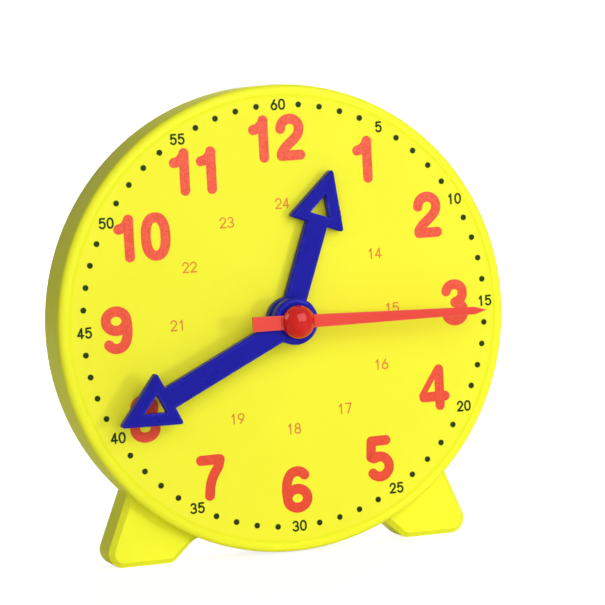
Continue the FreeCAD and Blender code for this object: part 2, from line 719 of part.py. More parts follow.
ALONG_Y = FreeCAD.Rotation(FreeCAD.Vector(1, 0, 0), -90)


def involute(angle):
    return math.tan(angle) - angle


def tooth_wire(teeth, phase):
    """The outline of a toothed disc: involute flanks as arcs, radial below the base circle."""
    module, pressure = value("gear_module"), math.radians(value("pressure_angle"))
    pitch_radius = module * teeth / 2
    base, tip, root = pitch_radius * math.cos(pressure), pitch_radius + module, pitch_radius - 1.25 * module
    flank_start = max(base, root)

    def half_angle(radius):
        """Half of a tooth's angle at a radius."""
        slope = math.acos(min(1.0, base / radius))
        return math.pi / (2 * teeth) + involute(pressure) - involute(slope)

    def at(radius, angle):
        turned = angle + math.radians(phase)
        return FreeCAD.Vector(radius * math.cos(turned), 0, radius * math.sin(turned))

    curves = []
    pitch_angle = 2 * math.pi / teeth
    middle_radius = (flank_start + tip) / 2
    foot, waist, crown = half_angle(flank_start), half_angle(middle_radius), half_angle(tip)
    for index in range(teeth):
        centre = index * pitch_angle
        following = centre + pitch_angle
        rise = [at(flank_start, centre - foot), at(middle_radius, centre - waist), at(tip, centre - crown)]
        fall = [at(tip, centre + crown), at(middle_radius, centre + waist), at(flank_start, centre + foot)]
        valley = [at(root, centre + foot), at(root, following - foot)]
        curves.append(Part.Arc(*rise))
        curves.append(Part.LineSegment(rise[-1], fall[0]))
        curves.append(Part.Arc(*fall))
        if flank_start > root:
            curves.append(Part.LineSegment(fall[-1], valley[0]))
        curves.append(Part.LineSegment(*valley))
        if flank_start > root:
            curves.append(Part.LineSegment(valley[1], at(flank_start, following - foot)))
    return Part.Wire([curve.toShape() for curve in curves])


def toothed_disc(name, teeth, front, thickness, phase):
    """A disc with teeth all round; one tooth stands at the phase angle, counted from +X to +Z."""
    profile = doc.addObject("Part::Feature", f"{name}_profile")
    profile.Shape = Part.Face(tooth_wire(round(value(teeth)), phase))
    profile.Placement = FreeCAD.Placement(FreeCAD.Vector(0, value(front), 0), FreeCAD.Rotation())
    bind(profile, ".Placement.Base.y", front)
    disc = doc.addObject("Part::Extrusion", f"{name}_disc")
    disc.Base = profile
    disc.DirMode = "Custom"
    disc.Dir = FreeCAD.Vector(0, 1, 0)
    disc.Solid = True
    bind(disc, "LengthFwd", thickness)
    return disc


def cylinder(name, radius, front, back):
    """A round bar along the hands' axis, from one depth to another."""
    bar = doc.addObject("Part::Cylinder", name)
    bar.Placement = FreeCAD.Placement(FreeCAD.Vector(0, value(front), 0), ALONG_Y)
    bind(bar, "Radius", radius)
    bind(bar, "Height", f"{back} - {front}")
    bind(bar, ".Placement.Base.y", front)
    return bar


def bored(name, solids, bore_radius, front, back):
    """Join the solids and run one bore through them."""
    blank = solids[0]
    if len(solids) > 1:
        blank = doc.addObject("Part::MultiFuse", f"{name}_blank")
        blank.Shapes = solids
    wheel = doc.addObject("Part::Cut", name)
    wheel.Base = blank
    wheel.Tool = cylinder(f"{name}_bore", bore_radius, f"({front} - 1)", f"({back} + 1)")
    wheel.Label = name
    doc.recompute()
    return wheel


def make_hour_wheel():
    """Large wheel and the pipe that carries the hour hand through the dial, in one moulding."""
    half_tooth = 180 / value("hour_teeth")
    hub_back = f"({HOUR_WHEEL_BACK} + end_play)"
    solids = [
        toothed_disc("hour_wheel", "hour_teeth", HOUR_WHEEL_FRONT, "hour_wheel_thickness", 270 + half_tooth),
        cylinder("hour_pipe", "pipe_radius", PIPE_FRONT, hub_back),
        cylinder("hour_hub", "hour_hub_radius", HOUR_WHEEL_FRONT, hub_back),
    ]
    wheel = bored("hour_wheel", solids, "arbor_radius + running_fit", PIPE_FRONT, hub_back)
    place(wheel)
    return wheel


def make_drive_pinion():
    wheel = bored(
        "drive_pinion",
        [toothed_disc("drive_pinion", "drive_teeth", DRIVE_FRONT, f"{DRIVE_BACK} - {DRIVE_FRONT}", 270)],
        "arbor_radius", DRIVE_FRONT, DRIVE_BACK)
    place(wheel)
    return wheel


def make_idler():
    """Wheel and pinion in one moulding, which turn together on the axle below the hands' axis."""
    half_tooth = 180 / value("idler_teeth")
    solids = [
        toothed_disc("idler_pinion", "idler_pinion_teeth", IDLER_FRONT, "idler_pinion_thickness", 90),
        toothed_disc("idler_wheel", "idler_teeth", IDLER_WHEEL_FRONT, "idler_wheel_thickness", 90 + half_tooth),
        cylinder("idler_hub", "idler_hub_radius", IDLER_FRONT, IDLER_BACK),
    ]
    wheel = bored("idler_gear", solids, "axle_radius + running_fit", IDLER_FRONT, IDLER_BACK)
    place(wheel, lower=GEAR_CENTRES)
    return wheel


PIECES = [
    make_housing(),
    make_rear_cover(),
    make_screws(),
    make_clock_hand("hour_hand", "hour_hand_length", HOUR_HAND_BACK, "pipe_radius", "hour_rest_angle"),
    make_clock_hand("minute_hand", "minute_hand_length", MINUTE_HAND_BACK, "arbor_radius",
                    "minute_rest_angle", f"(minute_hand_gap - 2 * end_play)"),
    make_second_hand(),
    make_cap(),
    make_hour_wheel(),
    make_arbor(),
    make_drive_pinion(),
    make_idler(),
    make_axle(),
    make_washer(),
    make_knob(),
]
doc.recompute()

for item in doc.Objects:
    if any(state in ("Invalid", "Error") for state in item.State):
        raise RuntimeError(f"{item.Name} failed: {item.State}")

os.makedirs("parts", exist_ok=True)
for piece in PIECES:
    shape = piece.Shape
    if shape.isNull() or not shape.isValid():
        raise RuntimeError(f"{piece.Label} has no valid shape")
    shape.exportStep(f"parts/{piece.Label}.step")
    box = shape.BoundBox
    print(f"{piece.Label:16} solids {len(shape.Solids)}  volume {shape.Volume:9.1f}  "
          f"x {box.XMin:7.2f} {box.XMax:7.2f}  y {box.YMin:7.2f} {box.YMax:7.2f}  z {box.ZMin:7.2f} {box.ZMax:7.2f}")
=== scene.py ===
import json
import math
from collections import namedtuple

import bmesh
import bpy
from mathutils import Matrix, Vector


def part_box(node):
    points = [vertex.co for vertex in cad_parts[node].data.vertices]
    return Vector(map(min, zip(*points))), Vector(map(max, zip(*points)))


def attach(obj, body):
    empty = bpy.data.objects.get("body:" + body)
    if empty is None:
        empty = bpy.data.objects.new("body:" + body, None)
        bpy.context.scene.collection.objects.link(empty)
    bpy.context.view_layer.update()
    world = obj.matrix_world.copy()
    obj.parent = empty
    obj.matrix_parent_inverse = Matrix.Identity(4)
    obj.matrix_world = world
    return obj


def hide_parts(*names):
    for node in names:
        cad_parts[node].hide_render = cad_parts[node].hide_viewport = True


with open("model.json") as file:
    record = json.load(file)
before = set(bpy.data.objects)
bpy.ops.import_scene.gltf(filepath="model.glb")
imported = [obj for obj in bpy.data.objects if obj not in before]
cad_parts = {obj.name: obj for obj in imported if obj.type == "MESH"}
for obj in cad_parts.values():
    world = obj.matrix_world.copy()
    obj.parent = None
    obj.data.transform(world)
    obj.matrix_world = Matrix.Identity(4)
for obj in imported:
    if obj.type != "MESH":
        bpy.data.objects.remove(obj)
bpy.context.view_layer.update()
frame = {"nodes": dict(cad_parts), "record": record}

# A geared teaching clock: every solid gets its material and smooth edges, and the dial its print.
# Lengths are metres. The dial faces -Y, and the hands turn about a line along Y through AXIS.

MM = 0.001
CASE_LOW, CASE_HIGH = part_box("front_housing")
WHEEL_LOW, WHEEL_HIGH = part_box("hour_wheel")
DIAL_Y = CASE_LOW.y
AXIS = Vector(((WHEEL_LOW.x + WHEEL_HIGH.x) / 2, 0.0, (WHEEL_LOW.z + WHEEL_HIGH.z) / 2))
CASE_RADIUS = CASE_HIGH.z - AXIS.z
# radii on the rim are given for a case of 50 mm, and follow the case's own radius
RIM_MM = CASE_RADIUS / 50.0

# the print's middle lies a little right of and above the hands' axis
PRINT_CENTRE = AXIS + Vector((0.36 * MM, 0, 0.64 * MM))
# lengths on the print are counted in rings: one ring is the radius of its circle of dots
DOT_RING = CASE_RADIUS * 0.902
DOT_RADIUS = 0.014
HOUR_STROKE = 0.048
MINUTE_STROKE = 0.009
AFTERNOON_STROKE = 0.0065
MINUTE_DIGIT_HEIGHT = 0.053
AFTERNOON_DIGIT_HEIGHT = 0.052
SMALL_DIGIT_WIDTH = 0.035
SMALL_DIGIT_PITCH = 0.038

# ink rises this far from the dial's face, and its back lies a little under it
HOUR_INK_RISE = 0.045 * MM
DOT_INK_RISE = 0.04 * MM
SMALL_INK_RISE = 0.03 * MM
INK_SINK = 0.01 * MM
# the strokes of a digit, and the round ends of a stroke, differ a hair in height, so that no two faces
# lie in one plane where they cross
STROKE_STEP = 0.006 * MM
END_DROP = 0.003 * MM

# an edge that turns by more than this is sharp, and faces that turn by less than this are one flat face
SHARP_ANGLE = math.radians(35.0)
RING_SHARP_ANGLE = math.radians(50.0)
FLAT_ANGLE = math.radians(0.5)
# points nearer than this are one point, and a CAD face thinner than this is no face
SAME_POINT = 1e-7
SAME_CAD_POINT = 5e-7
THINNEST_FACE = 2e-7


# ---------------------------------------------------------------- shader nodes

# a mix node's sockets for its factor and colours, and its colour result
MIX_FACTOR, MIX_FIRST, MIX_SECOND, MIX_RESULT = 0, 6, 7, 2


def feed(tree, target, value):
    """Sets an input to a plain value, or links it to another node's output."""
    if isinstance(value, bpy.types.NodeSocket):
        tree.links.new(value, target)
    else:
        target.default_value = value


def object_place(tree):
    """Where a point lies on its object, which is also its place in the frame at rest."""
    return tree.nodes.new("ShaderNodeTexCoord").outputs["Object"]


def math_node(tree, operation, first, second, clamp=False):
    """The result of one operation on two numbers."""
    node = tree.nodes.new("ShaderNodeMath")
    node.operation = operation
    node.use_clamp = clamp
    feed(tree, node.inputs[0], first)
    feed(tree, node.inputs[1], second)
    return node.outputs["Value"]


def vector_node(tree, operation, *vectors):
    """The outputs of one operation on vectors."""
    node = tree.nodes.new("ShaderNodeVectorMath")
    node.operation = operation
    for target, vector in zip(node.inputs, vectors):
        feed(tree, target, vector)
    return node.outputs


def noise(tree, place, scale, detail, roughness=0.5):
    """A cloudy pattern between 0 and 1."""
    node = tree.nodes.new("ShaderNodeTexNoise")
    for label, value in (("Vector", place), ("Scale", scale), ("Detail", detail), ("Roughness", roughness)):
        feed(tree, node.inputs[label], value)
    return node.outputs["Fac"]


def spread(tree, value, low, high, to_low=0.0, to_high=1.0, smooth=False):
    """Maps the range of a value onto another range, and holds it there."""
    node = tree.nodes.new("ShaderNodeMapRange")
    node.clamp = True
    if smooth:
        node.interpolation_type = "SMOOTHSTEP"
    labels = ("Value", "From Min", "From Max", "To Min", "To Max")
    for label, amount in zip(labels, (value, low, high, to_low, to_high)):
        feed(tree, node.inputs[label], amount)
    return node.outputs["Result"]


def blend_colours(tree, factor, first, second):
    """The first colour where the factor is 0, and the second where it is 1."""
    node = tree.nodes.new("ShaderNodeMix")
    node.data_type = "RGBA"
    feed(tree, node.inputs[MIX_FACTOR], factor)
    feed(tree, node.inputs[MIX_FIRST], first)
    feed(tree, node.inputs[MIX_SECOND], second)
    return node.outputs[MIX_RESULT]


def blend_shaders(tree, factor, first, second):
    """The first shader where the factor is 0, and the second where it is 1."""
    node = tree.nodes.new("ShaderNodeMixShader")
    for target, value in zip(node.inputs, (factor, first, second)):
        tree.links.new(value, target)
    return node.outputs[0]


# ---------------------------------------------------------------- shared effects

SURFACE_OUTPUTS = [("Color", "Color"), ("Roughness", "Float"), ("Height", "Float")]


def new_group(name, inputs, outputs):
    """A shader group with named sockets: the group, what it is given and what it gives out."""
    group = bpy.data.node_groups.new(name, "ShaderNodeTree")
    for label, kind, value in inputs:
        made = group.interface.new_socket(name=label, in_out="INPUT", socket_type=f"NodeSocket{kind}")
        made.default_value = value
    for label, kind in outputs:
        group.interface.new_socket(name=label, in_out="OUTPUT", socket_type=f"NodeSocket{kind}")
    given = group.nodes.new("NodeGroupInput").outputs
    out = group.nodes.new("NodeGroupOutput").inputs
    return group, given, out


def make_edge_wear():
    """A mask that is bright along edges, for rubbed edges and for a painted highlight on the hands, the knob
    and the second hand's step.
    """
    group, given, out = new_group("edge_wear_and_highlight", [
        ("Radius", "Float", 0.4 * MM),
        ("Amount", "Float", 0.6),
        ("Breakup Scale", "Float", 400.0),
    ], [("Mask", "Float")])
    rounded = group.nodes.new("ShaderNodeBevel")
    rounded.samples = 4
    feed(group, rounded.inputs["Radius"], given["Radius"])
    true_normal = group.nodes.new("ShaderNodeNewGeometry").outputs["Normal"]
    facing = vector_node(group, "DOT_PRODUCT", rounded.outputs["Normal"], true_normal)["Value"]
    edge = spread(group, math_node(group, "SUBTRACT", 1.0, facing), 0.01, 0.25)
    cloud = noise(group, object_place(group), given["Breakup Scale"], 4.0)
    mask = math_node(group, "MULTIPLY", edge, spread(group, cloud, 0.38, 0.62))
    feed(group, out["Mask"], math_node(group, "MULTIPLY", mask, given["Amount"], clamp=True))
    return group


def make_moulded_skin():
    """The surface of moulded plastic: flow marks, fine grain and a roughness that wanders."""
    group, given, out = new_group("moulded_skin", [
        ("Color", "Color", (0.8, 0.8, 0.8, 1)),
        ("Flow Color", "Color", (0.7, 0.7, 0.7, 1)),
        ("Flow Scale", "Float", 25.0),
        ("Grain Scale", "Float", 2500.0),
        ("Grain Depth", "Float", 0.05),
        ("Smooth", "Float", 0.3),
        ("Rough", "Float", 0.45),
    ], SURFACE_OUTPUTS)
    place = object_place(group)
    flow = spread(group, noise(group, place, given["Flow Scale"], 3.0), 0.35, 0.65)
    grain = noise(group, place, given["Grain Scale"], 3.0, 0.6)
    scuffs = noise(group, place, 160.0, 5.0, 0.65)
    waves = math_node(group, "MULTIPLY", noise(group, place, 60.0, 1.0), 0.6)
    fine = math_node(group, "MULTIPLY", grain, given["Grain Depth"])
    feed(group, out["Color"], blend_colours(group, flow, given["Color"], given["Flow Color"]))
    feed(group, out["Roughness"], spread(group, scuffs, 0.3, 0.7, given["Smooth"], given["Rough"]))
    feed(group, out["Height"], math_node(group, "ADD", waves, fine))
    return group


def make_printed_ink():
    """Screen print: a colour that changes from the dial's foot to its top, with fine specks."""
    group, given, out = new_group("printed_ink", [
        ("Top Color", "Color", (0.8, 0.1, 0.1, 1)),
        ("Bottom Color", "Color", (0.7, 0.1, 0.1, 1)),
        ("Speck Color", "Color", (0.9, 0.3, 0.2, 1)),
        ("Speck Scale", "Float", 1600.0),
        ("Speck Amount", "Float", 0.5),
        ("Low", "Float", 10.0 * MM),
        ("High", "Float", 90.0 * MM),
    ], SURFACE_OUTPUTS)
    place = object_place(group)
    split = group.nodes.new("ShaderNodeSeparateXYZ")
    feed(group, split.inputs["Vector"], place)
    rise = spread(group, split.outputs["Z"], given["Low"], given["High"])
    plain = blend_colours(group, rise, given["Bottom Color"], given["Top Color"])
    grain = noise(group, place, given["Speck Scale"], 2.0, 0.6)
    specks = math_node(group, "MULTIPLY", spread(group, grain, 0.42, 0.62), given["Speck Amount"])
    feed(group, out["Color"], blend_colours(group, specks, plain, given["Speck Color"]))
    feed(group, out["Roughness"], spread(group, grain, 0.3, 0.7, 0.38, 0.6))
    feed(group, out["Height"], grain)
    return group


def make_worked_metal():
    """Turned or rolled metal: fine lines along one direction and dull spots."""
    group, given, out = new_group("worked_metal", [
        ("Color", "Color", (0.6, 0.6, 0.6, 1)),
        ("Dull Color", "Color", (0.45, 0.45, 0.45, 1)),
        ("Lines", "Vector", (3000.0, 150.0, 3000.0)),
    ], SURFACE_OUTPUTS)
    place = object_place(group)
    stretched = vector_node(group, "MULTIPLY", place, given["Lines"])["Vector"]
    lines = noise(group, stretched, 1.0, 4.0, 0.6)
    spots = spread(group, noise(group, place, 500.0, 4.0, 0.6), 0.4, 0.65)
    feed(group, out["Color"], blend_colours(group, spots, given["Color"], given["Dull Color"]))
    feed(group, out["Roughness"], spread(group, lines, 0.3, 0.7, 0.22, 0.48))
    feed(group, out["Height"], lines)
    return group


WEAR_AND_HIGHLIGHT_MASK = make_edge_wear()
MOULDED_SKIN = make_moulded_skin()
PRINTED_INK = make_printed_ink()
WORKED_METAL = make_worked_metal()


# ---------------------------------------------------------------- materials

# noise cells per metre along X, Y and Z for a metal's lines, which run where the cells are fewest
TURNED_ALONG_Y = (3000.0, 150.0, 3000.0)
ROLLED_ALONG_Z = (1500.0, 1500.0, 400.0)


def linear_step(step):
    """One display level, 0 to 255, as a linear one, 0 to 1."""
    level = step / 255
    return level / 12.92 if level <= 0.04045 else ((level + 0.055) / 1.055) ** 2.4


def linear(red, green, blue, shade=1.0):
    """A display colour as the shader's linear colour, made lighter or darker by a shade."""
    return tuple(shade * linear_step(step) for step in (red, green, blue)) + (1.0,)


def new_material(name):
    """A material, its node tree and its Principled shader."""
    material = bpy.data.materials.new(name)
    material.use_nodes = True
    return material, material.node_tree, material.node_tree.nodes["Principled BSDF"]


def use_group(tree, group, **values):
    """The outputs of a shared effect, placed with values of its own."""
    node = tree.nodes.new("ShaderNodeGroup")
    node.node_tree = group
    for name, value in values.items():
        node.inputs[name.replace("_", " ")].default_value = value
    return node.outputs


def add_bump(tree, shader, height, strength, depth):
    """Gives a shader small relief from a height pattern."""
    bump = tree.nodes.new("ShaderNodeBump")
    bump.inputs["Strength"].default_value = strength
    bump.inputs["Distance"].default_value = depth
    tree.links.new(height, bump.inputs["Height"])
    tree.links.new(bump.outputs["Normal"], shader.inputs["Normal"])


def moulded_plastic(name, colour, flow, wear_and_highlight_colour, wear_and_highlight=0.5, smooth=0.28, rough=0.42, grain=0.05, bump=0.12,
                    gloss=0.2, edge=0.4 * MM):
    """Moulded plastic with flow marks, grain, lighter edges (a painted highlight on the hands, the knob and
    the second hand's step) and a light gloss.
    """
    material, tree, shader = new_material(name)
    skin = use_group(tree, MOULDED_SKIN, Color=colour, Flow_Color=flow, Grain_Depth=grain, Smooth=smooth,
                     Rough=rough)
    edges = use_group(tree, WEAR_AND_HIGHLIGHT_MASK, Amount=wear_and_highlight, Radius=edge)
    # lighter colour along the edges; on the hands, the knob and the second hand's step it is a painted
    # highlight
    feed(tree, shader.inputs["Base Color"], blend_colours(tree, edges["Mask"], skin["Color"], wear_and_highlight_colour))
    feed(tree, shader.inputs["Roughness"], skin["Roughness"])
    add_bump(tree, shader, skin["Height"], bump, 0.2 * MM)
    shader.inputs["Specular IOR Level"].default_value = gloss
    return material, tree, shader


def distance_from_axis(tree):
    """How far a point lies from the hands' axis."""
    centred = tree.nodes.new("ShaderNodeMapping")
    centred.inputs["Location"].default_value = (-AXIS.x, 0, -AXIS.z)
    centred.inputs["Scale"].default_value = (1, 0, 1)
    feed(tree, centred.inputs["Vector"], object_place(tree))
    return vector_node(tree, "LENGTH", centred.outputs["Vector"])["Value"]


def case_yellow():
    """Yellow of the case, greener on the rolled rim, with a darker line of painted shade in the hollow where
    the dial meets it.
    """
    material, tree, shader = moulded_plastic(
        "case_yellow", linear(250, 248, 61), linear(246, 243, 56), linear(253, 253, 130), wear_and_highlight=0.25,
        smooth=0.34, rough=0.46, gloss=0.06)
    plain = shader.inputs["Base Color"].links[0].from_socket
    rim_starts, rim_full = 47.7 * RIM_MM, 48.1 * RIM_MM
    line_starts, line_full = 47.05 * RIM_MM, 47.5 * RIM_MM
    line_fades, line_ends = 47.8 * RIM_MM, 48.25 * RIM_MM
    radius = distance_from_axis(tree)
    on_rim = spread(tree, radius, rim_starts, rim_full, smooth=True)
    rimmed = blend_colours(tree, on_rim, plain, linear(250, 251, 55))
    # painted shade: a darker, greener ring in the hollow between the dial and the rim's lip
    rise = spread(tree, radius, line_starts, line_full, smooth=True)
    fall = spread(tree, radius, line_fades, line_ends, 1.0, 0.0, smooth=True)
    painted_hollow_shade = math_node(tree, "MULTIPLY", rise, fall)
    feed(tree, shader.inputs["Base Color"], blend_colours(tree, painted_hollow_shade, rimmed, linear(242, 244, 42)))
    return material


def cover_yellow():
    """Duller yellow of the rear cover, with a coarser grain."""
    return moulded_plastic("cover_yellow", linear(243, 240, 48), linear(236, 232, 44), linear(250, 250, 140),
                           wear_and_highlight=0.4, smooth=0.4, rough=0.55, grain=0.12, bump=0.3)[0]


def hand_blue(name, shade=1.0):
    """Deep blue of the hands and the knob, with a painted highlight of lighter blue along the edges."""
    # the light blue along the edges is a painted highlight, laid on at full amount over a wide edge
    return moulded_plastic(name, linear(24, 24, 162, shade), linear(21, 21, 153, shade), linear(62, 64, 238),
                           wear_and_highlight=1.0, smooth=0.25, rough=0.38, gloss=0.1, edge=0.9 * MM)[0]


def cap_red():
    """Polished red of the cap."""
    return moulded_plastic("cap_red", linear(214, 24, 16), linear(204, 20, 13), linear(235, 60, 45),
                           wear_and_highlight=0.2, smooth=0.07, rough=0.12, grain=0.01, bump=0.01, gloss=0.36)[0]


def clear_red(name, wear_and_highlight):
    """Tinted clear plastic of the thin second hand, paler along its edges; where the edges are made fully
    paler, on the hub's step, this is a painted glint.
    """
    material, _, shader = moulded_plastic(
        name, linear(248, 78, 65), linear(240, 70, 57), linear(252, 165, 145), wear_and_highlight=wear_and_highlight,
        smooth=0.12, rough=0.25, grain=0.03, bump=0.06)
    shader.inputs["Transmission Weight"].default_value = 0.15
    return material


def natural_plastic(name):
    """Milky unpainted plastic of the gears and the shaft."""
    return moulded_plastic(name, linear(240, 239, 230), linear(230, 228, 216), linear(250, 250, 246),
                           wear_and_highlight=0.4, smooth=0.4, rough=0.55, grain=0.08, bump=0.2)[0]


def worked_metal(name, colour, dull, lines):
    """Bare metal with fine lines, dull spots and brighter edges."""
    material, tree, shader = new_material(name)
    metal = use_group(tree, WORKED_METAL, Color=colour, Dull_Color=dull, Lines=lines)
    edges = use_group(tree, WEAR_AND_HIGHLIGHT_MASK, Amount=0.7, Radius=0.15 * MM)
    rubbed = blend_colours(tree, edges["Mask"], metal["Color"], linear(232, 232, 230))
    feed(tree, shader.inputs["Base Color"], rubbed)
    feed(tree, shader.inputs["Roughness"], metal["Roughness"])
    add_bump(tree, shader, metal["Height"], 0.15, 0.05 * MM)
    shader.inputs["Metallic"].default_value = 1.0
    return material


def ink(name, top, bottom, speck, scale, amount):
    """Screen printed ink."""
    material, tree, shader = new_material(name)
    layer = use_group(tree, PRINTED_INK, Top_Color=top, Bottom_Color=bottom, Speck_Color=speck,
                      Speck_Scale=scale, Speck_Amount=amount)
    feed(tree, shader.inputs["Base Color"], layer["Color"])
    feed(tree, shader.inputs["Roughness"], layer["Roughness"])
    add_bump(tree, shader, layer["Height"], 0.1, 0.03 * MM)
    shader.inputs["Specular IOR Level"].default_value = 0.06
    return material


# ---------------------------------------------------------------- meshes

def add_object(name, data):
    """A new object in the scene that shows the data."""
    made = bpy.data.objects.new(name, data)
    bpy.context.scene.collection.objects.link(made)
    return made


def add_mesh(name, bm, material):
    """A new object at the origin with the finished bmesh as its mesh."""
    mesh = bpy.data.meshes.new(name)
    bm.to_mesh(mesh)
    bm.free()
    mesh.materials.append(material)
    return add_object(name, mesh)


def finish(bm, name, material, body, sharp=SHARP_ANGLE):
    """Makes the bmesh a piece, smooth up to the sharp angle, and lets it ride on its body."""
    for edge in bm.edges:
        edge.smooth = edge.is_manifold and edge.calc_face_angle(math.pi) < sharp
    for face in bm.faces:
        face.smooth = True
    piece = add_mesh(name, bm, material)
    even = piece.modifiers.new("even_shading", "WEIGHTED_NORMAL")
    even.keep_sharp = True
    even.weight = 100
    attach(piece, body)
    return piece


def merged(node):
    """A bmesh of a CAD node with its loose triangles joined and its flat areas made whole."""
    bm = bmesh.new()
    bm.from_mesh(frame["nodes"][node].data)
    bmesh.ops.remove_doubles(bm, verts=bm.verts, dist=SAME_CAD_POINT)
    bmesh.ops.dissolve_degenerate(bm, dist=THINNEST_FACE, edges=bm.edges)
    bmesh.ops.dissolve_limit(bm, angle_limit=FLAT_ANGLE, verts=bm.verts, edges=bm.edges)
    return bm


def round_edges(bm, width):
    """Rounds the sharp edges of a bmesh."""
    edges = [edge for edge in bm.edges if edge.is_manifold and edge.calc_face_angle(0) > SHARP_ANGLE]
    bmesh.ops.bevel(bm, geom=edges, offset=width, offset_type="OFFSET", affect="EDGES", segments=2,
                    profile=0.5, material=-1, clamp_overlap=True)


def body_of(node):
    """The body that the record puts a node in."""
    bodies = frame["record"]["behaviour"]["bodies"]
    return next(body for body, members in bodies.items() if node in members)


def smooth_piece(node, material, edge=0.0):
    """Stands for a CAD node with smooth curves and, where a width is given, rounded edges."""
    bm = merged(node)
    if edge:
        round_edges(bm, edge)
    piece = finish(bm, f"{node}_shell", material, body_of(node))
    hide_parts(node)


# ---------------------------------------------------------------- strokes of the print

# the line a pen follows, whether it closes on itself, and its share of the digit's stroke width
Stroke = namedtuple("Stroke", "points closed share", defaults=(False, 1.0))
BEND_STEPS = 6
ARC_STEPS = 22
LOOP_STEPS = 40
DOT_SIDES = 24
END_SIDES = 20
MEETING_GAP = 1e-6


def on_dial(x, z):
    """A point of the print, counted in rings from its middle, as a place on the dial's face."""
    return Vector((PRINT_CENTRE.x + x * DOT_RING, DIAL_Y, PRINT_CENTRE.z + z * DOT_RING))


def line(*points):
    """Straight from point to point."""
    return Stroke([Vector(point) for point in points])


def bend(*points):
    """A smooth curve through the points."""
    spots = [Vector(point) for point in points]
    spots = [2 * spots[0] - spots[1]] + spots + [2 * spots[-1] - spots[-2]]
    curve = []
    for i in range(1, len(spots) - 2):
        before, start, end, after = spots[i - 1:i + 3]
        square = 2 * before - 5 * start + 4 * end - after
        cube = 3 * start - before - 3 * end + after
        for step in range(BEND_STEPS):
            t = step / BEND_STEPS
            curve.append(0.5 * (2 * start + (end - before) * t + square * t ** 2 + cube * t ** 3))
    return Stroke(curve + [spots[-2]])


def arc(x, z, wide, high, start, end):
    """Part of an oval, from one angle to another in degrees, with zero at its right."""
    turns = [math.radians(start + (end - start) * i / ARC_STEPS) for i in range(ARC_STEPS + 1)]
    return Stroke([Vector((x + wide * math.cos(t), z + high * math.sin(t))) for t in turns])


def loop(x, z, wide, high, power=2.0, steps=LOOP_STEPS):
    """A closed oval; a power above two makes it squarer."""
    points = []
    for i in range(steps):
        t = 2 * math.pi * i / steps
        across = math.copysign(abs(math.cos(t)) ** (2 / power), math.cos(t))
        up = math.copysign(abs(math.sin(t)) ** (2 / power), math.sin(t))
        points.append(Vector((x + wide * across, z + high * up)))
    return Stroke(points, closed=True)


def joined(*strokes):
    """Open strokes run together as one."""
    points = []
    for stroke in strokes:
        meets = points and (stroke.points[0] - points[-1]).length < MEETING_GAP
        points += stroke.points[1:] if meets else stroke.points
    return Stroke(points)


def slim(stroke, share):
    """The stroke, drawn with a share of the digit's stroke width."""
    return stroke._replace(share=share)


def half_turn(strokes):
    """The strokes turned upside down."""
    return [stroke._replace(points=[-point for point in stroke.points]) for stroke in strokes]


def thicken(bm, faces, rise):
    """Gives a flat shape its thickness, from a little under the dial's face to its rise above it."""
    for vert in {vert for face in faces for vert in face.verts}:
        vert.co.y = DIAL_Y + INK_SINK
    grown = bmesh.ops.extrude_face_region(bm, geom=faces, use_keep_orig=True)["geom"]
    for vert in (part for part in grown if isinstance(part, bmesh.types.BMVert)):
        vert.co.y = DIAL_Y - rise


def add_disc(bm, centre, radius, rise, sides):
    """A round spot of ink."""
    upright = Matrix.Rotation(math.radians(90), 4, "X")
    made = bmesh.ops.create_circle(bm, cap_ends=True, segments=sides, radius=radius * DOT_RING,
                                   matrix=Matrix.Translation(on_dial(*centre)) @ upright)
    thicken(bm, list({face for vert in made["verts"] for face in vert.link_faces}), rise)


def edges_of_stroke(spots, closed, width):
    """The points on the left and right of a line that goes through the spots."""
    last = len(spots) - 1
    left, right = [], []
    for i, spot in enumerate(spots):
        ahead = spots[(i + 1) % len(spots)] if closed else spots[min(i + 1, last)]
        behind = spots[i - 1] if closed else spots[max(i - 1, 0)]
        run = (ahead - behind).normalized()
        out = Vector((-run.y, run.x)) * width / 2
        left.append(spot + out)
        right.append(spot - out)
    return left, right


def add_ribbon(bm, left, right, closed):
    """The faces between a stroke's two edges; a closed one comes back to its start."""
    if closed:
        left = left + left[:1]
        right = right + right[:1]
    verts = bmesh.ops.create_grid(bm, x_segments=len(left) - 1, y_segments=1, size=1.0)["verts"]
    verts.sort(key=lambda vert: (vert.co.y, vert.co.x))
    for vert, place in zip(verts, right + left):
        vert.co = on_dial(*place)
    faces = {face for vert in verts for face in vert.link_faces}
    if closed:
        bmesh.ops.remove_doubles(bm, verts=verts, dist=SAME_POINT)
    return [face for face in faces if face.is_valid]


def add_stroke(bm, stroke, centre, scale, width, rise):
    """A stroke of ink with round ends, scaled in both directions about the digit's middle."""
    wide, high = scale
    spots = [Vector((centre[0] + point.x * wide, centre[1] + point.y * high)) for point in stroke.points]
    left, right = edges_of_stroke(spots, stroke.closed, width)
    thicken(bm, add_ribbon(bm, left, right, stroke.closed), rise)
    if not stroke.closed:
        add_disc(bm, spots[0], width / 2, rise - END_DROP, END_SIDES)
        add_disc(bm, spots[-1], width / 2, rise - END_DROP, END_SIDES)


def add_digit(bm, strokes, centre, scale, width, rise):
    """One digit, each stroke a hair higher than the one before."""
    for layer, stroke in enumerate(strokes):
        add_stroke(bm, stroke, centre, scale, width * stroke.share, rise + STROKE_STEP * layer)


# ---------------------------------------------------------------- digits

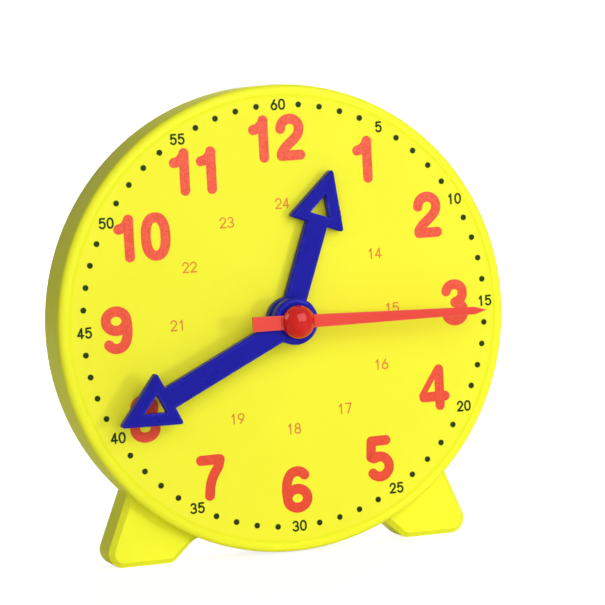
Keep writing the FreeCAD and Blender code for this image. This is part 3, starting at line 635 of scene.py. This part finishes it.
# bold digits, in rings from the digit's middle
BOLD = {
    "0": [loop(0, 0, 0.0475, 0.0888, 2.4)],
    "1": [line((0, -0.088), (0, 0.087)),
          bend((-0.049, 0.044), (-0.030, 0.049), (-0.012, 0.063), (0.002, 0.085))],
    "2": [joined(arc(0, 0.042, 0.046, 0.045, 180, 0),
                 bend((0.046, 0.042), (0.040, 0.016), (0.020, -0.008), (-0.006, -0.030), (-0.030, -0.052),
                      (-0.044, -0.072), (-0.046, -0.085))),
          line((-0.046, -0.085), (0.048, -0.085))],
    "3": [joined(arc(0.0005, 0.051, 0.0415, 0.037, 172, 0),
                 bend((0.042, 0.051), (0.040, 0.030), (0.025, 0.011), (0.003, 0.001))),
          joined(bend((0.003, 0.001), (0.029, -0.009), (0.0425, -0.028), (0.0445, -0.049)),
                 arc(0.001, -0.049, 0.0435, 0.038, 0, -175))],
    "4": [line((0.028, -0.087), (0.028, 0.087)),
          slim(line((0.0204, 0.092), (-0.0625, -0.034)), 0.62),
          line((-0.053, -0.043), (0.055, -0.043))],
    "5": [line((0.035, 0.0865), (-0.039, 0.0865)),
          line((-0.039, 0.0865), (-0.044, 0.010)),
          line((-0.044, 0.012), (-0.030, 0.003)),
          arc(-0.001, -0.038, 0.047, 0.0485, 122, -141)],
    "6": [loop(0.001, -0.0415, 0.050, 0.045),
          bend((-0.049, -0.0415), (-0.052, 0.0015), (-0.046, 0.0445), (-0.028, 0.0765), (0.0, 0.0875),
               (0.025, 0.0825), (0.041, 0.0685))],
    "7": [line((-0.048, 0.084), (0.044, 0.084)),
          bend((0.045, 0.083), (0.035, 0.049), (0.010, 0.009), (-0.005, -0.031), (-0.013, -0.085))],
    "8": [loop(0, 0.048, 0.045, 0.038),
          loop(0, -0.048, 0.050, 0.043)],
}
BOLD["9"] = half_turn(BOLD["6"])

# thin digits, in a box one wide and one high about the digit's middle
THIN = {
    "0": [loop(0, 0, 0.5, 0.5, 2.3)],
    "1": [line((0.08, -0.5), (0.08, 0.5)),
          line((0.08, 0.5), (-0.24, 0.26))],
    "2": [joined(arc(0, 0.2, 0.46, 0.3, 172, -25), line((0.417, 0.073), (-0.46, -0.5))),
          line((-0.46, -0.5), (0.5, -0.5))],
    "3": [arc(-0.02, 0.25, 0.42, 0.25, 155, -88),
          arc(-0.02, -0.25, 0.5, 0.25, 88, -155)],
    "4": [line((0.2, -0.5), (0.2, 0.5)),
          line((0.2, 0.5), (-0.5, -0.24)),
          line((-0.5, -0.24), (0.5, -0.24))],
    "5": [line((0.42, 0.5), (-0.36, 0.5)),
          line((-0.36, 0.5), (-0.42, 0.04)),
          arc(-0.02, -0.17, 0.5, 0.33, 140, -150)],
    "6": [loop(0, -0.2, 0.48, 0.3),
          line((-0.44, -0.08), (0.16, 0.5))],
    "7": [line((-0.46, 0.5), (0.48, 0.5)),
          line((0.48, 0.5), (-0.1, -0.5))],
    "8": [loop(0, 0.26, 0.38, 0.24, steps=28),
          loop(0, -0.23, 0.48, 0.27, steps=28)],
}
THIN["9"] = half_turn(THIN["6"])

# each digit or number with its middle, in rings from the print's middle: right, then up
HOUR_DIGITS = [
    ("1", 0.436, 0.716), ("2", 0.728, 0.432), ("3", 0.847, 0.001), ("4", 0.720, -0.401),
    ("5", 0.425, -0.7175), ("6", 0.0, -0.8265), ("7", -0.420, -0.729), ("8", -0.729, -0.420),
    ("9", -0.840, 0.0015), ("1", -0.757, 0.422), ("0", -0.628, 0.422), ("1", -0.472, 0.713),
    ("1", -0.341, 0.713), ("1", -0.077, 0.843), ("2", 0.055, 0.843),
]
MINUTE_NUMBERS = [
    (5, 0.501, 0.866), (10, 0.870, 0.500), (15, 1.003, -0.001), (20, 0.870, -0.502),
    (25, 0.503, -0.866), (30, 0.003, -1.0), (35, -0.4975, -0.866), (40, -0.863, -0.501),
    (45, -0.995, -0.001), (50, -0.862, 0.499), (55, -0.498, 0.866), (60, 0.003, 1.0),
]
AFTERNOON_NUMBERS = [
    (13, 0.258, 0.463), (14, 0.450, 0.267), (15, 0.525, 0.0), (16, 0.456, -0.265),
    (17, 0.260, -0.461), (18, 0.0, -0.535), (19, -0.278, -0.463), (20, -0.465, -0.267),
    (21, -0.545, 0.0), (22, -0.472, 0.267), (23, -0.279, 0.463), (24, 0.0, 0.535),
]


def finish_print(bm, name, material):
    """Turns the faces of a printed layer outward and fixes it to the case."""
    bmesh.ops.recalc_face_normals(bm, faces=bm.faces)
    finish(bm, name, material, "case")


def hour_numbers(material):
    """The twelve bold hour numbers."""
    bm = bmesh.new()
    for digit, x, z in HOUR_DIGITS:
        add_digit(bm, BOLD[digit], (x, z), (1, 1), HOUR_STROKE, HOUR_INK_RISE)
    finish_print(bm, "hour_numbers", material)


def minute_dots(material):
    """A dot for each minute that has no number."""
    bm = bmesh.new()
    for minute in range(60):
        if minute % 5:
            angle = math.radians(6 * minute)
            add_disc(bm, (math.sin(angle), math.cos(angle)), DOT_RADIUS, DOT_INK_RISE, DOT_SIDES)
    finish_print(bm, "minute_dots", material)


def small_numbers(name, material, numbers, stroke, height):
    """A ring of small numbers drawn with a thin pen."""
    bm = bmesh.new()
    scale = (SMALL_DIGIT_WIDTH - stroke, height - stroke)
    for number, x, z in numbers:
        digits = str(number)
        for place, digit in enumerate(digits):
            offset = (place - (len(digits) - 1) / 2) * SMALL_DIGIT_PITCH
            add_digit(bm, THIN[digit], (x + offset, z), scale, stroke, SMALL_INK_RISE)
    finish_print(bm, name, material)


# ---------------------------------------------------------------- small formed details

def add_ring(name, material, body, profile, steps):
    """A ring turned about the hands' axis from the corners of its profile, given as radius and y."""
    bm = bmesh.new()
    corners = [bm.verts.new((AXIS.x + radius, y, AXIS.z)) for radius, y in profile]
    edges = [bm.edges.new((corner, corners[i - 1])) for i, corner in enumerate(corners)]
    bmesh.ops.spin(bm, geom=corners + edges, cent=AXIS, axis=(0, 1, 0), angle=2 * math.pi, steps=steps,
                   use_merge=True)
    bmesh.ops.remove_doubles(bm, verts=bm.verts, dist=SAME_POINT)
    bmesh.ops.recalc_face_normals(bm, faces=bm.faces)
    finish(bm, name, material, body, RING_SHARP_ANGLE)


def rim_lip(material):
    """The rolled rim: a low lip where it meets the dial, then a smooth fall to the side wall."""
    lip = [(47.7, -0.05), (47.8, 0.02), (48.0, 0.05), (48.3, 0.04)]
    roll = [(48.7, -0.02), (49.1, -0.12), (49.45, -0.3), (49.75, -0.56), (49.92, -0.85), (49.985, -1.15)]
    inside_the_case = [(49.985, -2.45), (48.6, -0.9)]
    profile = [(radius * RIM_MM, DIAL_Y - rise * MM) for radius, rise in lip + roll + inside_the_case]
    add_ring("rim_lip", material, "case", profile, 240)


def hub_ring(material):
    """The low raised edge round the minute hand's hub."""
    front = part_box("minute_hand")[0].y
    inner = 3.75 * MM
    outer = 4.55 * MM
    rise = 0.22 * MM
    shoulder = 0.6 * rise
    bevel = 0.12 * MM
    sink = 0.05 * MM
    profile = [(inner, front + sink), (inner, front - shoulder), (inner + bevel, front - rise),
               (outer - bevel, front - rise), (outer, front - shoulder), (outer, front + sink)]
    add_ring("minute_hub_ring", material, "minute", profile, 96)


def second_hub_block(material):
    """The thicker middle of the second hand, which steps up from the tail just outside the cap."""
    size = Vector((6.6, 0.45, 3.06)) * MM
    edge_round = 0.21 * MM
    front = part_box("second_hand")[0].y
    middle = Vector((-0.35 * MM, front - 0.15 * MM, 0))
    bm = bmesh.new()
    made = bmesh.ops.create_cube(bm, size=1.0)["verts"]
    bmesh.ops.scale(bm, vec=size, verts=made)
    bmesh.ops.translate(bm, vec=middle, verts=made)
    bmesh.ops.bevel(bm, geom=bm.edges[:], offset=edge_round, offset_type="OFFSET", affect="EDGES",
                    segments=2, profile=0.5, material=-1)
    past_three = Matrix.Rotation(math.radians(1.0), 4, "Y")
    bmesh.ops.transform(bm, matrix=Matrix.Translation(AXIS) @ past_three, verts=bm.verts)
    finish(bm, "second_hub_block", material, "second")


# ---------------------------------------------------------------- the clock

def build_front():
    """The front shell, and the raised details on it and on the hands."""
    yellow = case_yellow()
    smooth_piece("front_housing", yellow)
    rim_lip(yellow)
    hub_ring(BLUE)
    # the step's edges are made fully paler: a painted glint along the step
    second_hub_block(clear_red("clear_red_step_painted_glint", 1.0))


def build_back():
    """The rear cover and its screws."""
    smooth_piece("rear_cover", cover_yellow())
    zinc = worked_metal("zinc_screw", linear(200, 202, 204), linear(170, 173, 176), TURNED_ALONG_Y)
    smooth_piece("cover_screws", zinc, 0.05 * MM)


def build_hands():
    """The three hands, their cap and the knob."""
    smooth_piece("hour_hand", BLUE, 0.3 * MM)
    smooth_piece("minute_hand", BLUE, 0.3 * MM)
    smooth_piece("second_hand", clear_red("clear_red", 0.4), 0.08 * MM)
    smooth_piece("centre_cap", cap_red())
    smooth_piece("setting_knob", hand_blue("knob_blue", 1.1), 0.15 * MM)


def build_gears():
    """What the case hides: wheels, shafts, the idler's pin and the washer."""
    milky = natural_plastic("gear_plastic")
    for node in ("hour_wheel", "minute_arbor", "drive_pinion", "idler_gear"):
        smooth_piece(node, milky)
    steel = worked_metal("steel_pin", linear(196, 196, 198), linear(164, 165, 168), TURNED_ALONG_Y)
    smooth_piece("idler_axle", steel)
    spring = worked_metal("spring_steel", linear(206, 198, 176), linear(176, 166, 140), ROLLED_ALONG_Z)
    smooth_piece("friction_washer", spring)


def build_print():
    """The dial's print, in three inks."""
    green = ink("minute_ink", linear(38, 58, 18), linear(36, 54, 16), linear(56, 78, 30), 2600.0, 0.4)
    red = ink("hour_ink", linear(250, 110, 86), linear(238, 82, 60), linear(222, 68, 46), 2500.0, 0.55)
    orange = ink("afternoon_ink", linear(232, 140, 62), linear(228, 112, 58), linear(240, 160, 70),
                 2600.0, 0.4)
    hour_numbers(red)
    minute_dots(green)
    small_numbers("minute_numbers", green, MINUTE_NUMBERS, MINUTE_STROKE, MINUTE_DIGIT_HEIGHT)
    small_numbers("afternoon_numbers", orange, AFTERNOON_NUMBERS, AFTERNOON_STROKE, AFTERNOON_DIGIT_HEIGHT)


BLUE = hand_blue("hand_blue")
build_front()
build_back()
build_hands()
build_gears()
build_print()


# ---------------------------------------------------------------- stage, light and camera

LAMPS_AIM = Vector((0, 0, 50 * MM))


def floor_material():
    """Pale floor that turns white for the camera away from the clock, and keeps the clock's shadow."""
    material, tree, shader = new_material("floor_white")
    near, far = 0.1, 0.3
    glow_near, glow_far = 0.56, 1.0
    shader.inputs["Base Color"].default_value = (0.86, 0.86, 0.86, 1)
    shader.inputs["Roughness"].default_value = 0.8
    glow = tree.nodes.new("ShaderNodeEmission")
    glow.inputs["Strength"].default_value = 1.5
    seen = tree.nodes.new("ShaderNodeLightPath").outputs["Is Camera Ray"]
    distance = vector_node(tree, "LENGTH", object_place(tree))["Value"]
    away = spread(tree, distance, near, far, glow_near, glow_far, smooth=True)
    part = math_node(tree, "MULTIPLY", seen, away)
    lit = blend_shaders(tree, part, shader.outputs[0], glow.outputs[0])
    tree.links.new(lit, tree.nodes["Material Output"].inputs["Surface"])
    return material


def floor():
    """A wide flat floor at z = 0."""
    half_width = 6.0
    bm = bmesh.new()
    bmesh.ops.create_grid(bm, x_segments=1, y_segments=1, size=half_width)
    add_mesh("floor", bm, floor_material())


def white_world(level, gloss_level):
    """White to the camera and through clear plastic, greyer in gloss, and a soft light on the object."""
    world = bpy.data.worlds.new("white_world")
    bpy.context.scene.world = world
    world.use_nodes = True
    tree = world.node_tree
    light = tree.nodes["Background"]
    seen = tree.nodes.new("ShaderNodeBackground")
    for background, strength in ((light, level), (seen, 1.0)):
        background.inputs["Color"].default_value = (1, 1, 1, 1)
        background.inputs["Strength"].default_value = strength
    path = tree.nodes.new("ShaderNodeLightPath").outputs
    in_gloss = math_node(tree, "MULTIPLY", path["Is Glossy Ray"], gloss_level)
    share = math_node(tree, "MAXIMUM", path["Is Camera Ray"], in_gloss)
    share = math_node(tree, "MAXIMUM", share, path["Is Transmission Ray"])
    sky = blend_shaders(tree, share, light.outputs[0], seen.outputs[0])
    tree.links.new(sky, tree.nodes["World Output"].inputs["Surface"])


def soft_lamp(name, place, width, height, power, lights=True, reflected=True):
    """A panel lamp aimed at the clock's middle, which may only light it or only show in its gloss."""
    lamp = bpy.data.lights.new(name, "AREA")
    lamp.shape = "RECTANGLE"
    lamp.size = width
    lamp.size_y = height
    lamp.energy = power
    stand = add_object(name, lamp)
    stand.location = place
    stand.visible_diffuse = lights
    stand.visible_glossy = reflected
    towards = LAMPS_AIM - Vector(place)
    stand.rotation_euler = towards.to_track_quat("-Z", "Y").to_euler()


def camera():
    """A long lens from the reader's left and a little above, held slightly askew."""
    turn = math.radians(-18.926)
    lift = math.radians(4.896)
    roll = math.radians(-2.953)
    distance = 655.46085 * MM
    aside = 3.0668 * MM
    above = 2.95405 * MM
    back = Vector((math.sin(turn) * math.cos(lift), -math.cos(turn) * math.cos(lift), math.sin(lift)))
    level_right = (-back).cross(Vector((0, 0, 1))).normalized()
    level_up = level_right.cross(-back)
    right = math.cos(roll) * level_right + math.sin(roll) * level_up
    up = -math.sin(roll) * level_right + math.cos(roll) * level_up
    aim = Vector((PRINT_CENTRE.x, DIAL_Y, PRINT_CENTRE.z))
    place = aim + aside * right + above * up + distance * back
    lens = bpy.data.cameras.new("camera")
    lens.sensor_width = 36.0
    lens.lens = 183.15
    lens.clip_start = 0.01
    view = add_object("camera", lens)
    view.matrix_world = Matrix.Translation(place) @ Matrix((right, up, back)).transposed().to_4x4()
    bpy.context.scene.camera = view


floor()
white_world(0.08, 0.4)
soft_lamp("front_soft", (0.36, -0.76, 0.5), 0.75, 0.6, 3.3, reflected=False)
soft_lamp("left_fill", (-0.3, -0.92, 0.33), 0.9, 0.65, 3.7, reflected=False)
soft_lamp("right_key", (0.5, -0.75, 0.05), 0.13, 0.13, 1.6, reflected=False)
soft_lamp("overhead", (0.1, 0.1, 1.3), 1.2, 1.2, 0.8)
soft_lamp("back_soft", (0.6, 0.9, 0.6), 0.6, 0.5, 9.0)
soft_lamp("gloss_right", (0.33, -0.78, 0.48), 0.95, 0.8, 6.5, lights=False)
soft_lamp("gloss_left", (-0.82, 0.0, 0.55), 0.45, 0.45, 2.2, lights=False)
camera()

scene = bpy.context.scene
scene.view_settings.view_transform = "Standard"
